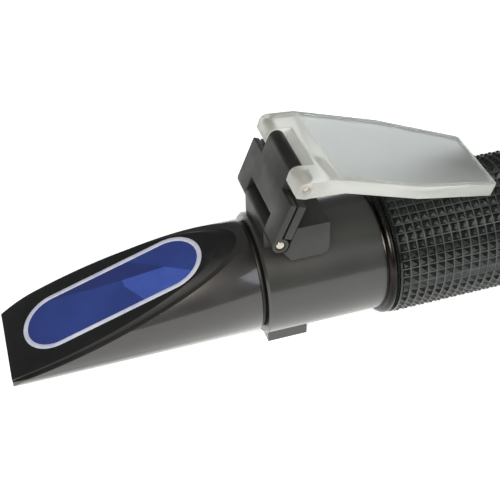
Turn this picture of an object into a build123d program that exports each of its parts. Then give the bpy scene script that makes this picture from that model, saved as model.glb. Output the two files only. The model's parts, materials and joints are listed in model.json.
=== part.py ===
from build123d import *
import math
import os

# Handheld refractometer, sizes in millimetres.
# While it is built, the optical axis is the X axis, the prism lip is at x = 0 and the eye end is at high x.
# The finished parts are moved so that the origin is under the middle of the instrument, on the table.

# ---- driving sizes ------------------------------------------------------------------------------------
# eyepiece barrel and the walls around it, which set the diameters of the whole instrument
barrel_radius = 10.0
barrel_wall = 1.5
bore_step = 0.4
hub_wall = 1.2
tube_wall = 1.4
slide_clearance = 0.04
running_clearance = 0.05
# prism head
spigot_wall = 1.4
spigot_gap = 0.6
head_wall = 1.5
head_length = 53.8
head_nose = 3.0
lip_height = 7.94
lip_corner_trim = 2.2
lip_corner_length = 10.0
seal_width = 1.2
seal_inset = 0.5
grub_radius = 0.95
grub_inset = 0.1
# prism face
face_margin = 3.4
bezel_thickness = 1.2
bezel_inset = 0.8
gasket_margin = 4.3
gasket_rear_margin = 6.9
gasket_width = 15.4
gasket_rim = 1.05
gasket_proud = 0.1
prism_depth = 9.0
prism_side_gap = 0.6
prism_table = 2.2
light_channel_inset = 1.0
# collar, trim ring and grip
collar_wall = 4.1
collar_length = 26.7
collar_chamfer = 0.5
trim_ring_width = 2.5
trim_ring_wall = 2.5
grip_wall = 2.8
grip_length = 56.0
grip_edge = 0.6
end_ring_width = 3.0
end_ring_wall = 2.1
# focusing
focus_ring_width = 7.5
focus_ring_wall = 1.9
focus_ring_edge = 0.5
focus_gap = 0.4
focus_hub_length = 4.0
snap_ring_width = 0.8
snap_ring_depth = 0.5
barrel_engaged = 24.0
focus_travel = 2.5
guide_radius = 0.9
guide_setback = 9.1
guide_slot_play = 0.3
# eyecup
eyecup_length = 16.1
eyecup_neck_wall = 4.2
eyecup_neck_length = 4.8
eyecup_flare_length = 4.9
eyecup_wall = 1.6
eyecup_edge = 0.8
eyecup_rim = 3.3
eyecup_seat = 5.0
# hinge
pin_rise = 3.5
pin_setback = 2.8
link_pin_radius = 1.0
link_length = 14.05
link_lean = 22.5
link_half_width = 12.5
link_thickness = 3.5
link_front_thickness = 1.35
link_window_height = 3.7
link_shoulder_drop = 4.05
link_groove = 0.45
link_groove_depth = 0.8
link_screw_radius = 0.7
link_screw_cover = 0.7
link_screw_offset = 0.5
knuckle_half_width = 6.5
neck_half_width = 6.7
cover_pin_radius = 0.8
pin_end_inset = 0.1
cover_pin_inset = 0.6
side_clearance = 0.15
block_length = 12.35
block_rise = 7.2
block_drop = 1.0
block_corner = 1.4
block_toe = 1.9
block_front_gap = 0.5
block_front_foot = 2.4
block_screw_radius = 0.95
block_screw_setback = 4.2
block_screw_inset = 2.4
block_screw_recess = 0.4
# daylight plate
plate_reach = 45.8
plate_thickness = 3.0
plate_ear_radius = 1.95
plate_ear_overhang = 0.5
plate_ear_corner = 0.35
plate_tip_half_width = 9.6
plate_bend_reach = 5.3
plate_bend = 13.0
plate_taper_reach = 25.5
plate_tip_corner = 0.6
plate_recess = 2.8
plate_grip_gap = 0.25
plate_face_gap = 0.1
# foot and calibration
foot_drop = 3.8
foot_length = 9.7
foot_setback = 1.9
foot_half_width = 5.0
foot_taper = 0.2
foot_screw_radius = 0.8
foot_screw_inset = 2.0
foot_screw_head_step = 0.55
foot_screw_head_height = 1.0
foot_screw_recess = 0.5
screw_inset = 3.1
screw_radius = 1.5
screw_head_step = 0.75
screw_head_height = 1.25
screw_travel = 0.75
screw_engaged = 3.4
seat_depth = 0.5
plug_recess = 0.2
carrier_clearance = 0.45
carrier_length = 7.0
carrier_aperture = 4.5
strip_length = 5.0
strip_thickness = 0.6
strip_half_width = 3.0
strip_inset = 1.4
slot_width = 0.6
slot_depth = 0.5
# optics
lens_clearance = 0.03
lens_rest = 0.2
lens_lip = 0.8
cell_floor = 1.0
cell_length = 6.0
retainer_width = 1.6
retainer_wall = 1.0
objective_radius = 6.0
objective_edge = 2.4
objective_bulge = 0.7
baffle_setback = 4.0
baffle_length = 6.0
reticle_radius = 8.0
reticle_thickness = 1.5
reticle_setback = 10.0
field_lens_edge = 1.8
field_lens_bulge = 0.8
eye_lens_edge = 2.0
eye_lens_bulge = 0.9
eye_lens_inset = 5.0

# ---- derived places -----------------------------------------------------------------------------------
bore_radius = barrel_radius - bore_step
focus_hub_radius = barrel_radius + running_clearance + hub_wall
tube_radius = focus_hub_radius + running_clearance + tube_wall
spigot_radius = bore_radius + spigot_wall
head_radius = spigot_radius + head_wall
collar_radius = bore_radius + collar_wall
trim_ring_radius = tube_radius + trim_ring_wall
grip_radius = tube_radius + grip_wall
end_ring_radius = tube_radius + end_ring_wall
focus_ring_radius = tube_radius + focus_ring_wall
carrier_radius = bore_radius - screw_travel - carrier_clearance
barrel_bore = barrel_radius - barrel_wall

lip_z = lip_height - head_radius
face_end = head_length - face_margin
slope = math.atan2(head_radius - lip_z, face_end)
face_length = face_end / math.cos(slope)
gasket_length = face_length - gasket_margin - gasket_rear_margin
prism_half_width = gasket_width / 2 - gasket_rim - prism_side_gap
spigot_start = face_end + spigot_gap
collar_start = head_length + seal_width
collar_end = collar_start + collar_length
ring_end = collar_end + trim_ring_width
grip_end = ring_end + grip_length
end_ring_end = grip_end + end_ring_width
focus_ring_start = end_ring_end + focus_gap
focus_ring_end = focus_ring_start + focus_ring_width
eyecup_start = focus_ring_end + focus_travel + focus_gap
overall_length = eyecup_start + eyecup_length
axis_height = collar_radius + foot_drop
eyecup_radius = axis_height
barrel_start = end_ring_end - barrel_engaged
guide_start = barrel_start - 2 * focus_travel
guide_x = barrel_start + guide_setback
barrel_end = eyecup_start + eyecup_seat
reticle_start = guide_start - reticle_setback
# The field lens sits behind the guide slot and its own retaining ring.
field_lens_start = guide_x + focus_travel + guide_radius + cell_floor + retainer_width + lens_rest
eye_lens_start = barrel_end - eye_lens_inset
hub_start = end_ring_end - focus_hub_length
snap_ring_start = hub_start + (focus_hub_length - snap_ring_width) / 2
pin_x = collar_start + pin_setback
pin_z = collar_radius + pin_rise
block_top = collar_radius + block_rise
block_bottom = collar_radius - block_drop
block_back = pin_x - link_thickness / 2 + block_length
lean = math.radians(link_lean)
upper_x = pin_x + link_length * math.sin(lean)
upper_z = pin_z + link_length * math.cos(lean)
link_front = -link_thickness / 2
link_split = link_front + link_front_thickness
link_back = link_thickness / 2
shoulder = link_length - link_shoulder_drop
foot_start = collar_start + foot_setback
foot_end = foot_start + foot_length
foot_bottom = -axis_height
screw_x = foot_start + screw_inset
foot_screw_x = foot_end - foot_screw_inset
screw_head_radius = screw_radius + screw_head_step
screw_seat = -collar_radius - seat_depth
carrier_end = screw_x + carrier_length / 2
cell_start = carrier_end + strip_length
# The plate's contact side is a tangent to the ears, after the bend.
nose = math.radians(plate_bend)
plate_contact = plate_ear_radius * math.cos(nose) + (
    plate_bend_reach + plate_ear_radius * math.sin(nose)) * math.tan(nose)
plate_back = plate_contact - plate_thickness
plate_ear_half_width = link_half_width + plate_ear_overhang
# The open plate leans on the grip: its lower tip corner stops just above the grip's crown.
tip_arm = math.hypot(plate_reach, plate_back)
tip_drop = upper_z - grip_radius - plate_grip_gap
open_tilt = math.asin(tip_drop / tip_arm) + math.atan2(plate_back, plate_reach)
# Closed, the plate's contact side lies just above the gasket, and the link reaches forward from its pin.
pin_over_face = (pin_z - lip_z) * math.cos(slope) - pin_x * math.sin(slope)
upper_over_face = gasket_proud + plate_face_gap + plate_contact
link_closed_rise = math.asin((upper_over_face - pin_over_face) / link_length)
link_turn = 90 + link_lean + math.degrees(slope - link_closed_rise)
cover_turn = 180 + math.degrees(slope + open_tilt) - link_turn

face_plane = Plane(
    origin=(0, 0, lip_z),
    x_dir=(math.cos(slope), 0, math.sin(slope)),
    z_dir=(-math.sin(slope), 0, math.cos(slope)),
)


# ---- helpers ------------------------------------------------------------------------------------------
def turned(*profile):
    """Solid turned about the optical axis from (x, radius) points."""
    outline = [(x, 0, r) for x, r in profile]
    return revolve(make_face(Polyline(*outline, close=True)), Axis.X, 360)


def tube(x0, x1, outer, inner):
    """Plain tube along the optical axis."""
    return turned((x0, inner), (x0, outer), (x1, outer), (x1, inner))


def rod(x0, x1, radius):
    """Solid round bar along the optical axis."""
    return Pos((x0 + x1) / 2, 0, 0) * Rot(0, 90, 0) * Cylinder(radius, x1 - x0)


def cross_rod(x, z, radius, half_width):
    """Round bar along Y through the point (x, z)."""
    return Pos(x, 0, z) * Rot(90, 0, 0) * Cylinder(radius, 2 * half_width)


def side_plate(points, half_width):
    """Prism with a side view given by (x, z) points, centred on the middle plane."""
    face = make_face(Polyline(*[(x, 0, z) for x, z in points], close=True))
    return extrude(face, amount=half_width, dir=(0, 1, 0), both=True)


def side_slab(x0, x1, z0, z1, half_width):
    """Box given by its side view, centred on the middle plane."""
    return Pos((x0 + x1) / 2, 0, (z0 + z1) / 2) * Box(x1 - x0, 2 * half_width, z1 - z0)


def face_stadium(start, length, width, low, high):
    """Prism with round ends on the prism face, between two heights above the face."""
    outline = face_plane.offset(low) * Pos(start + length / 2, 0) * SlotOverall(length, width)
    return extrude(outline, amount=high - low, dir=face_plane.z_dir)


def above_face(height):
    """Everything on the open side of a plane at this height above the prism face."""
    reach = 4 * head_length
    return face_plane.offset(height) * Pos(0, 0, reach / 2) * Box(2 * reach, reach, reach)


def link_point(along, behind):
    """(x, z) of a point in the link, measured from the lower pin."""
    return (
        pin_x + along * math.sin(lean) + behind * math.cos(lean),
        pin_z + along * math.cos(lean) - behind * math.sin(lean),
    )


def cover_point(along, up):
    """(x, z) of a point in the open daylight plate, measured from the upper pin."""
    return (
        upper_x + along * math.cos(open_tilt) + up * math.sin(open_tilt),
        upper_z - along * math.sin(open_tilt) + up * math.cos(open_tilt),
    )


def link_front_of(behind, low, half_width):
    """Everything in front of a line along the link, above the height low."""
    reach = 4 * link_length
    corners = [(-reach, behind), (-reach, -reach), (reach, -reach), (reach, behind)]
    side = side_plate([link_point(*corner) for corner in corners], half_width)
    return side & side_slab(pin_x - reach, pin_x + reach, low, low + reach, half_width)


# ---- prism head ---------------------------------------------------------------------------------------
def rounded_lip(radius):
    """Bar of the head's length whose front corners curve in, seen from above."""
    run = lip_corner_length
    drop = lip_corner_trim
    bend = (run * run + drop * drop) / (2 * drop)
    corner_box = side_slab(-1, run, -2 * radius, 2 * radius, 2 * radius)
    near = Pos(run, radius - bend, 0) * Cylinder(bend, 4 * radius)
    far = Pos(run, bend - radius, 0) * Cylinder(bend, 4 * radius)
    return rod(0, head_length, radius) - (corner_box - (near & far))


def prism_head():
    shell = rounded_lip(head_radius) - rod(head_nose, head_length + 1, spigot_radius)
    shell -= above_face(-bezel_thickness)
    for hole in grub_places():
        shell -= hole * Cylinder(grub_radius, 2 * head_wall + 1)
    return shell


def grub_places():
    """Places of the two screws that lock the head on the main tube's spigot."""
    x = (spigot_start + head_length) / 2
    middle = head_radius - head_wall / 2
    return [
        Pos(x, middle * math.sin(a), -middle * math.cos(a)) * Rot(math.degrees(a), 0, 0)
        for a in (0.0, math.radians(115))
    ]


def head_grub_screws():
    screws = []
    for place in grub_places():
        body = place * Pos(0, 0, grub_inset / 2) * Cylinder(grub_radius, head_wall - 2 * grub_inset)
        slot = Box(3 * grub_radius, slot_width / 2, 2 * (slot_depth / 2 + grub_inset))
        screws.append(body - place * Pos(0, 0, -head_wall / 2) * slot)
    return Compound(children=screws)


def prism_bezel():
    """Dark plate on the head's slanted cut, a little smaller than the cut."""
    plate = rounded_lip(head_radius - bezel_inset) - above_face(0)
    opening = face_stadium(gasket_margin, gasket_length, gasket_width, -2 * bezel_thickness, bezel_thickness)
    return (plate & above_face(-bezel_thickness)) - opening


def prism_gasket():
    outer = face_stadium(gasket_margin, gasket_length, gasket_width, -bezel_thickness, gasket_proud)
    inner = face_stadium(
        gasket_margin + gasket_rim,
        gasket_length - 2 * gasket_rim,
        gasket_width - 2 * gasket_rim,
        -2 * bezel_thickness,
        2 * bezel_thickness,
    )
    return outer - inner


def on_face(along, height):
    """(x, z) of a point this far up the prism face and this high above it."""
    return (
        along * math.cos(slope) - height * math.sin(slope),
        lip_z + along * math.sin(slope) + height * math.cos(slope),
    )


def prism_side():
    """Side view of the prism below its table: a slanted entry side and an upright exit side."""
    start = gasket_margin + gasket_rim
    rear = on_face(start + gasket_length - 2 * gasket_rim, -prism_table)
    floor = rear[1] - prism_depth - prism_table
    return [
        on_face(start, -prism_table),
        rear,
        (rear[0], floor),
        (rear[0] - prism_depth, floor),
        on_face(start + prism_depth, -prism_depth / 2 - prism_table / 2),
    ]


def main_prism():
    table = face_stadium(
        gasket_margin + gasket_rim,
        gasket_length - 2 * gasket_rim,
        gasket_width - 2 * gasket_rim,
        -prism_table,
        0,
    )
    return table + side_plate(prism_side(), prism_half_width)


def prism_cradle():
    """Black block that the prism is set in, open behind the prism for the light."""
    block = rod(head_nose, face_end, spigot_radius)
    block -= above_face(-bezel_thickness)
    block -= main_prism()
    exit_x, exit_floor = prism_side()[2]
    channel = prism_half_width - light_channel_inset
    return block - side_slab(exit_x - 0.01, head_length, exit_floor, exit_floor + prism_depth, channel)


def head_seal():
    return tube(head_length, collar_start, head_radius - seal_inset, spigot_radius)


# ---- main tube and grip -------------------------------------------------------------------------------
def main_tube():
    hub_bore = focus_hub_radius + running_clearance
    guide_bore = barrel_radius + slide_clearance
    body = turned(
        (spigot_start, bore_radius),
        (spigot_start, spigot_radius),
        (collar_start, spigot_radius),
        (collar_start, collar_radius - collar_chamfer),
        (collar_start + collar_chamfer, collar_radius),
        (collar_end, collar_radius),
        (collar_end, tube_radius),
        (end_ring_end, tube_radius),
        (end_ring_end, hub_bore),
        (snap_ring_start + snap_ring_width, hub_bore),
        (snap_ring_start + snap_ring_width, hub_bore + snap_ring_depth),
        (snap_ring_start, hub_bore + snap_ring_depth),
        (snap_ring_start, hub_bore),
        (hub_start, hub_bore),
        (hub_start, guide_bore),
        (guide_start, guide_bore),
        (guide_start, bore_radius),
    )
    wall = collar_radius - bore_radius
    middle = (collar_radius + bore_radius) / 2
    body -= Pos(screw_x, 0, -middle) * Cylinder(screw_radius + 2 * running_clearance, wall + 2)
    body -= Pos(foot_screw_x, 0, -middle) * Cylinder(foot_screw_radius, wall + 2)
    for x in block_screw_places():
        body -= Pos(x, 0, middle) * Cylinder(block_screw_radius, wall + 2)
    return body - Pos(guide_x, 0, -tube_radius) * Cylinder(guide_radius, 2 * (tube_radius - barrel_bore))


def snap_ring():
    """Split ring that keeps the focusing ring on the tube but lets it turn."""
    hub_bore = focus_hub_radius + running_clearance
    ring = tube(
        snap_ring_start,
        snap_ring_start + snap_ring_width,
        hub_bore + snap_ring_depth,
        focus_hub_radius - snap_ring_depth + running_clearance,
    )
    gap = 2 * snap_ring_depth
    return ring - Pos(snap_ring_start, 0, focus_hub_radius) * Box(4 * snap_ring_width, gap, 4 * gap)


def guide_screw():
    """Pin screw whose nose runs in the slot of the eyepiece barrel and stops it from turning."""
    nose_end = barrel_bore + guide_slot_play
    top = tube_radius - running_clearance
    return Pos(guide_x, 0, -(nose_end + top) / 2) * Cylinder(guide_radius, top - nose_end)


def trim_ring():
    """Bead between the collar and the grip."""
    middle = (collar_end + ring_end) / 2
    half = trim_ring_width / 2
    crown = trim_ring_radius - half
    bead = Pos(middle, 0, 0) * Rot(0, 90, 0) * Torus(crown, half)
    web = tube(collar_end, ring_end, crown, tube_radius)
    return web + (bead - rod(collar_end - 1, ring_end + 1, crown - 0.01))


def rubber_grip():
    return turned(
        (ring_end, tube_radius),
        (ring_end, grip_radius - grip_edge),
        (ring_end + grip_edge, grip_radius),
        (grip_end - grip_edge, grip_radius),
        (grip_end, grip_radius - grip_edge),
        (grip_end, tube_radius),
    )


def end_ring():
    return turned(
        (grip_end, tube_radius),
        (grip_end, end_ring_radius),
        (end_ring_end - grip_edge, end_ring_radius),
        (end_ring_end, end_ring_radius - grip_edge),
        (end_ring_end, tube_radius),
    )


# ---- foot and calibration -----------------------------------------------------------------------------
def calibration_boss():
    """Block under the collar that the instrument rests on and that holds the calibration screw."""
    toe = foot_start + foot_taper
    heel = foot_end - foot_taper
    side = [(foot_start, 0), (foot_end, 0), (heel, foot_bottom), (toe, foot_bottom)]
    boss = side_plate(side, foot_half_width)
    boss -= rod(collar_start - 1, collar_end + 1, collar_radius)
    boss -= Pos(screw_x, 0, foot_bottom) * Cylinder(screw_radius + running_clearance, axis_height)
    chamber = 2 * (screw_seat - foot_bottom)
    boss -= Pos(screw_x, 0, foot_bottom) * Cylinder(screw_head_radius + running_clearance, chamber)
    boss -= Pos(foot_screw_x, 0, foot_bottom) * Cylinder(foot_screw_radius, axis_height)
    head = foot_screw_head()
    return boss - Pos(foot_screw_x, 0, foot_bottom) * Cylinder(head, 2 * (foot_screw_seat() - foot_bottom))


def foot_screw_head():
    return foot_screw_radius + foot_screw_head_step


def foot_screw_seat():
    return foot_bottom + foot_screw_head_height + foot_screw_recess


def foot_screw():
    """Screw that holds the boss to the tube, put in from below."""
    top = -bore_radius - foot_screw_recess
    seat = foot_screw_seat()
    low = seat - foot_screw_head_height
    shank = Pos(foot_screw_x, 0, (top + seat) / 2) * Cylinder(foot_screw_radius, top - seat)
    head = Pos(foot_screw_x, 0, (low + seat) / 2) * Cylinder(foot_screw_head(), foot_screw_head_height)
    return shank + head - Pos(foot_screw_x, 0, low) * Box(3 * foot_screw_head(), slot_width, 2 * slot_depth)


def calibration_screw():
    top = -carrier_radius + screw_engaged
    head_top = screw_seat - running_clearance
    head_bottom = head_top - screw_head_height
    shank = Pos(screw_x, 0, (top + head_top) / 2) * Cylinder(screw_radius, top - head_top)
    head = Pos(screw_x, 0, (head_top + head_bottom) / 2) * Cylinder(screw_head_radius, screw_head_height)
    return shank + head - Pos(screw_x, 0, head_bottom) * Box(3 * screw_head_radius, slot_width, 2 * slot_depth)


def screw_stop():
    """Height of the top of the ring under the calibration screw's head."""
    return screw_seat - screw_head_height - 2 * running_clearance


def screw_retainer():
    """Ring that keeps the calibration screw's head against its seat."""
    outer = screw_head_radius + running_clearance
    ring = Cylinder(outer, retainer_width / 2) - Cylinder(outer - screw_head_step, retainer_width)
    return Pos(screw_x, 0, screw_stop() - retainer_width / 4) * ring


def calibration_plug():
    """Soft plug that closes the hole under the calibration screw."""
    top = screw_stop() - retainer_width / 2
    bottom = foot_bottom + plug_recess
    return Pos(screw_x, 0, (top + bottom) / 2) * Cylinder(screw_head_radius + running_clearance, top - bottom)


def objective_carrier():
    """Threaded block that the calibration screw raises and lowers."""
    x0 = screw_x - carrier_length / 2
    block = tube(x0, carrier_end, carrier_radius, carrier_aperture)
    bore = 2 * (carrier_radius - carrier_aperture + screw_radius)
    return block - Pos(screw_x, 0, -carrier_radius) * Cylinder(screw_radius + running_clearance, bore)


def bimetal_strip():
    """Thin strip that carries the lens cell and bends a little as the temperature changes."""
    top = carrier_radius - strip_inset
    return side_slab(carrier_end, cell_start, top - strip_thickness, top, strip_half_width)


def cell(start, outer, seat):
    """Short tube with a floor in front that a disc of this seat radius rests on."""
    lip = seat - lens_lip
    return turned(
        (start, lip),
        (start, outer),
        (start + cell_length, outer),
        (start + cell_length, seat),
        (start + cell_floor, seat),
        (start + cell_floor, lip),
    )


def lens_cell():
    return cell(cell_start, carrier_radius, objective_radius)


def lens_disc(x0, x1, radius, bulge):
    """Round lens with its edge between x0 and x1 and both faces bulging out on the axis."""
    ball = (radius * radius + bulge * bulge) / (2 * bulge)
    blank = rod(x0 - bulge, x1 + bulge, radius)
    front = Pos(x0 - bulge + ball, 0, 0) * Sphere(ball)
    back = Pos(x1 + bulge - ball, 0, 0) * Sphere(ball)
    return blank & front & back


def objective_lens():
    x0 = cell_start + cell_floor + lens_rest
    return lens_disc(x0, x0 + objective_edge, objective_radius - lens_clearance, objective_bulge)


def retainer(start, radius):
    """Ring that holds a lens or a disc in a bore of this radius."""
    return tube(start, start + retainer_width, radius, radius - retainer_wall)


def objective_retainer():
    return retainer(cell_start + cell_floor + objective_edge + 2 * lens_rest, objective_radius)


def light_baffle():
    x0 = collar_end + baffle_setback
    inner = bore_radius - retainer_wall
    return turned(
        (x0, bore_radius),
        (x0 + baffle_length, bore_radius),
        (x0 + baffle_length, inner),
        (x0 + cell_floor, inner),
        (x0 + cell_floor, carrier_aperture),
        (x0, carrier_aperture),
    )


def reticle_cell():
    return cell(reticle_start, bore_radius, reticle_radius)


def reticle():
    x0 = reticle_start + cell_floor
    return rod(x0, x0 + reticle_thickness, reticle_radius)


def reticle_retainer():
    return retainer(reticle_start + cell_floor + reticle_thickness, reticle_radius)


# ---- eyepiece -----------------------------------------------------------------------------------------
def focus_ring():
    """Ring that is turned to focus, on a hub held in the end of the tube."""
    inner = barrel_radius + running_clearance
    groove = focus_hub_radius - snap_ring_depth
    edge = focus_ring_edge
    return turned(
        (hub_start + running_clearance, inner),
        (hub_start + running_clearance, focus_hub_radius),
        (snap_ring_start - running_clearance, focus_hub_radius),
        (snap_ring_start - running_clearance, groove),
        (snap_ring_start + snap_ring_width + running_clearance, groove),
        (snap_ring_start + snap_ring_width + running_clearance, focus_hub_radius),
        (focus_ring_start, focus_hub_radius),
        (focus_ring_start, focus_ring_radius - edge),
        (focus_ring_start + edge, focus_ring_radius),
        (focus_ring_end - edge, focus_ring_radius),
        (focus_ring_end, focus_ring_radius - edge),
        (focus_ring_end, inner),
    )


def eyepiece_barrel():
    body = tube(barrel_start, barrel_end, barrel_radius, barrel_bore)
    length = 2 * (focus_travel + guide_radius + guide_slot_play)
    width = 2 * guide_radius + guide_slot_play
    return body - Pos(guide_x, 0, -barrel_radius) * Box(length, width, 3 * barrel_wall)


def field_lens_retainer():
    return retainer(field_lens_start - lens_rest - retainer_width, barrel_bore)


def field_lens():
    x1 = field_lens_start + field_lens_edge
    return lens_disc(field_lens_start, x1, barrel_bore - lens_clearance, field_lens_bulge)


def lens_spacer():
    start = field_lens_start + field_lens_edge + lens_rest
    return tube(start, eye_lens_start - lens_rest, barrel_bore, barrel_bore - retainer_wall)


def eye_lens():
    x1 = eye_lens_start + eye_lens_edge
    return lens_disc(eye_lens_start, x1, barrel_bore - lens_clearance, eye_lens_bulge)


def eye_lens_retainer():
    return retainer(eye_lens_start + eye_lens_edge + lens_rest, barrel_bore)


def eyecup():
    """Soft flared cup on the end of the eyepiece barrel."""
    neck = barrel_radius + eyecup_neck_wall
    floor = barrel_end + eyecup_wall
    edge = eyecup_edge
    flare = eyecup_start + eyecup_neck_length
    return turned(
        (eyecup_start, barrel_radius),
        (eyecup_start, neck - edge),
        (eyecup_start + edge, neck),
        (flare, neck),
        (flare + eyecup_flare_length, eyecup_radius - edge),
        (overall_length - 3 * edge, eyecup_radius),
        (overall_length - edge, eyecup_radius),
        (overall_length, eyecup_radius - edge),
        (overall_length, eyecup_radius - eyecup_rim),
        (floor, barrel_bore + lens_lip),
        (floor, barrel_bore),
        (barrel_end, barrel_bore),
        (barrel_end, barrel_radius),
    )


# ---- hinge --------------------------------------------------------------------------------------------
def block_screw_places():
    return [pin_x + block_screw_setback, block_back - block_screw_inset]


def block_screw_top():
    return (collar_radius + block_top) / 2


def hinge_block():
    """Block on the collar with a middle knuckle for the link's lower pin."""
    corner = block_corner
    front = pin_x + block_front_gap
    block = side_plate(
        [
            (front, pin_z - block_toe),
            (pin_x + block_front_foot, block_bottom),
            (block_back - corner, block_bottom),
            (block_back - corner * 0.3, block_bottom + corner * 0.3),
            (block_back, block_bottom + corner),
            (block_back, block_top),
            (front, block_top),
        ],
        link_half_width,
    )
    block -= link_front_of(link_back + side_clearance, pin_z + link_front, link_half_width + 1)
    block -= cross_rod(pin_x, pin_z, link_back + 2 * side_clearance, link_half_width + 1)
    block += side_slab(pin_x + link_front, block_back - 2 * corner, 0, pin_z, knuckle_half_width)
    block += side_slab(pin_x, block_back - 2 * corner, 0, pin_z + link_back, knuckle_half_width)
    block += cross_rod(pin_x, pin_z, link_back, knuckle_half_width)
    block -= rod(0, overall_length, collar_radius)
    block -= cross_rod(pin_x, pin_z, link_pin_radius, link_half_width + 1)
    for x in block_screw_places():
        top = block_screw_top()
        block -= Pos(x, 0, (bore_radius + top) / 2) * Cylinder(block_screw_radius, top - bore_radius)
    return block


def block_screws():
    """Screws put in from inside the tube, up into the hinge block."""
    screws = []
    for x in block_screw_places():
        top = block_screw_top()
        low = bore_radius + block_screw_recess
        shank = Pos(x, 0, (low + top) / 2) * Cylinder(block_screw_radius, top - low)
        screws.append(shank - Pos(x, 0, low) * Box(3 * block_screw_radius, slot_width, 2 * slot_depth))
    return Compound(children=screws)


def link_pin():
    return cross_rod(pin_x, pin_z, link_pin_radius, link_half_width - pin_end_inset)


def cover_pin():
    return cross_rod(upper_x, upper_z, cover_pin_radius, plate_ear_half_width - cover_pin_inset)


def link_window():
    reach = 3 * link_thickness
    return side_plate(
        [
            link_point(-reach, -reach),
            link_point(link_window_height, -reach),
            link_point(link_window_height, reach),
            link_point(-reach, reach),
        ],
        knuckle_half_width + side_clearance,
    )


def link_frame():
    """Front of the link: two legs round the lower pin and a barrel for the upper pin."""
    body = side_plate(
        [link_point(0, link_front), link_point(shoulder, link_front), link_point(shoulder, link_split),
         link_point(0, link_split)],
        link_half_width,
    )
    body += cross_rod(pin_x, pin_z, link_back, link_half_width)
    body += side_plate(
        [
            link_point(shoulder, link_front),
            link_point(link_length, link_front),
            link_point(link_length, link_back),
            link_point(shoulder, link_back),
        ],
        neck_half_width,
    )
    body += cross_rod(upper_x, upper_z, link_back, neck_half_width)
    body -= link_window()
    body -= cross_rod(pin_x, pin_z, link_pin_radius + running_clearance, link_half_width + 1)
    body -= cross_rod(upper_x, upper_z, cover_pin_radius, link_half_width + 1)
    for y in link_screw_places():
        body -= link_screw_hole(y, link_front + link_screw_cover, link_back + 1)
    return body


def link_back_plate():
    """Rear of the link, parted from the front by a fine groove at its sides and top."""
    low = link_back + side_clearance
    body = side_plate(
        [link_point(low, link_split), link_point(shoulder, link_split), link_point(shoulder, link_back),
         link_point(low, link_back)],
        link_half_width,
    )
    groove_back = link_split + link_groove
    groove = side_plate(
        [link_point(0, link_split - 1), link_point(link_length, link_split - 1),
         link_point(link_length, groove_back), link_point(0, groove_back)],
        link_half_width + 1,
    )
    core_top = shoulder - link_groove_depth
    core = side_plate(
        [link_point(-1, link_split - 2), link_point(core_top, link_split - 2),
         link_point(core_top, groove_back + 1), link_point(-1, groove_back + 1)],
        link_half_width - link_groove_depth,
    )
    body -= groove - core
    body -= link_window()
    for y in link_screw_places():
        body -= link_screw_hole(y, link_split - 1, link_back + 1)
    return body


def link_screw_places():
    middle = (link_half_width + knuckle_half_width) / 2
    return [-middle, middle]


def link_screw_hole(y, behind0, behind1, radius=link_screw_radius):
    along = (shoulder + link_window_height) / 2 - link_screw_offset
    x, z = link_point(along, (behind0 + behind1) / 2)
    return Pos(x, y, z) * Rot(0, 90 + link_lean, 0) * Cylinder(radius, behind1 - behind0)


def link_screws():
    """Two small screws that hold the link's halves together from behind."""
    screws = []
    for y in link_screw_places():
        body = link_screw_hole(y, link_front + link_screw_cover, link_back - pin_end_inset)
        screws.append(body - link_screw_hole(y, link_back - slot_depth, link_back + 1, link_screw_radius / 2))
    return Compound(children=screws)


def plate_outline():
    """Plan of the plate from its ears to its tip, as (along, half width) points of one side."""
    wide = plate_ear_half_width
    tip = plate_tip_half_width
    return [
        (-2 * plate_ear_radius, wide),
        (plate_taper_reach, wide),
        (plate_reach - plate_tip_corner, tip),
        (plate_reach, tip - plate_tip_corner),
    ]


def daylight_plate():
    """Clear plate with two ears, bent a little ahead of the ears."""
    ear = plate_ear_radius
    side = [
        cover_point(-ear * math.sin(nose), ear * math.cos(nose)),
        cover_point(plate_bend_reach, plate_contact),
        cover_point(plate_reach, plate_contact),
        cover_point(plate_reach, plate_back),
        cover_point(plate_bend_reach + plate_thickness, plate_back),
        cover_point(0, -ear),
        cover_point(plate_ear_corner - ear, -ear),
        cover_point(-ear, plate_ear_corner - ear),
        cover_point(-ear, 0),
        cover_point(0, 0),
    ]
    wide = plate_ear_half_width
    body = side_plate(side, wide) + cross_rod(upper_x, upper_z, ear, wide)
    outline = plate_outline()
    points = outline + [(a, -y) for a, y in reversed(outline)]
    plan = Plane(
        origin=(upper_x, 0, upper_z),
        x_dir=(math.cos(open_tilt), 0, -math.sin(open_tilt)),
        z_dir=(math.sin(open_tilt), 0, math.cos(open_tilt)),
    )
    body &= extrude(plan * make_face(Polyline(*points, close=True)), amount=plate_reach, both=True)
    room = 8 * plate_ear_radius
    recess_width = 2 * (neck_half_width + side_clearance)
    body -= plan * Pos(plate_recess - room / 2, 0, 0) * Box(room, recess_width, room)
    body -= cross_rod(upper_x, upper_z, cover_pin_radius + running_clearance, link_half_width + 2)
    return body


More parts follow.
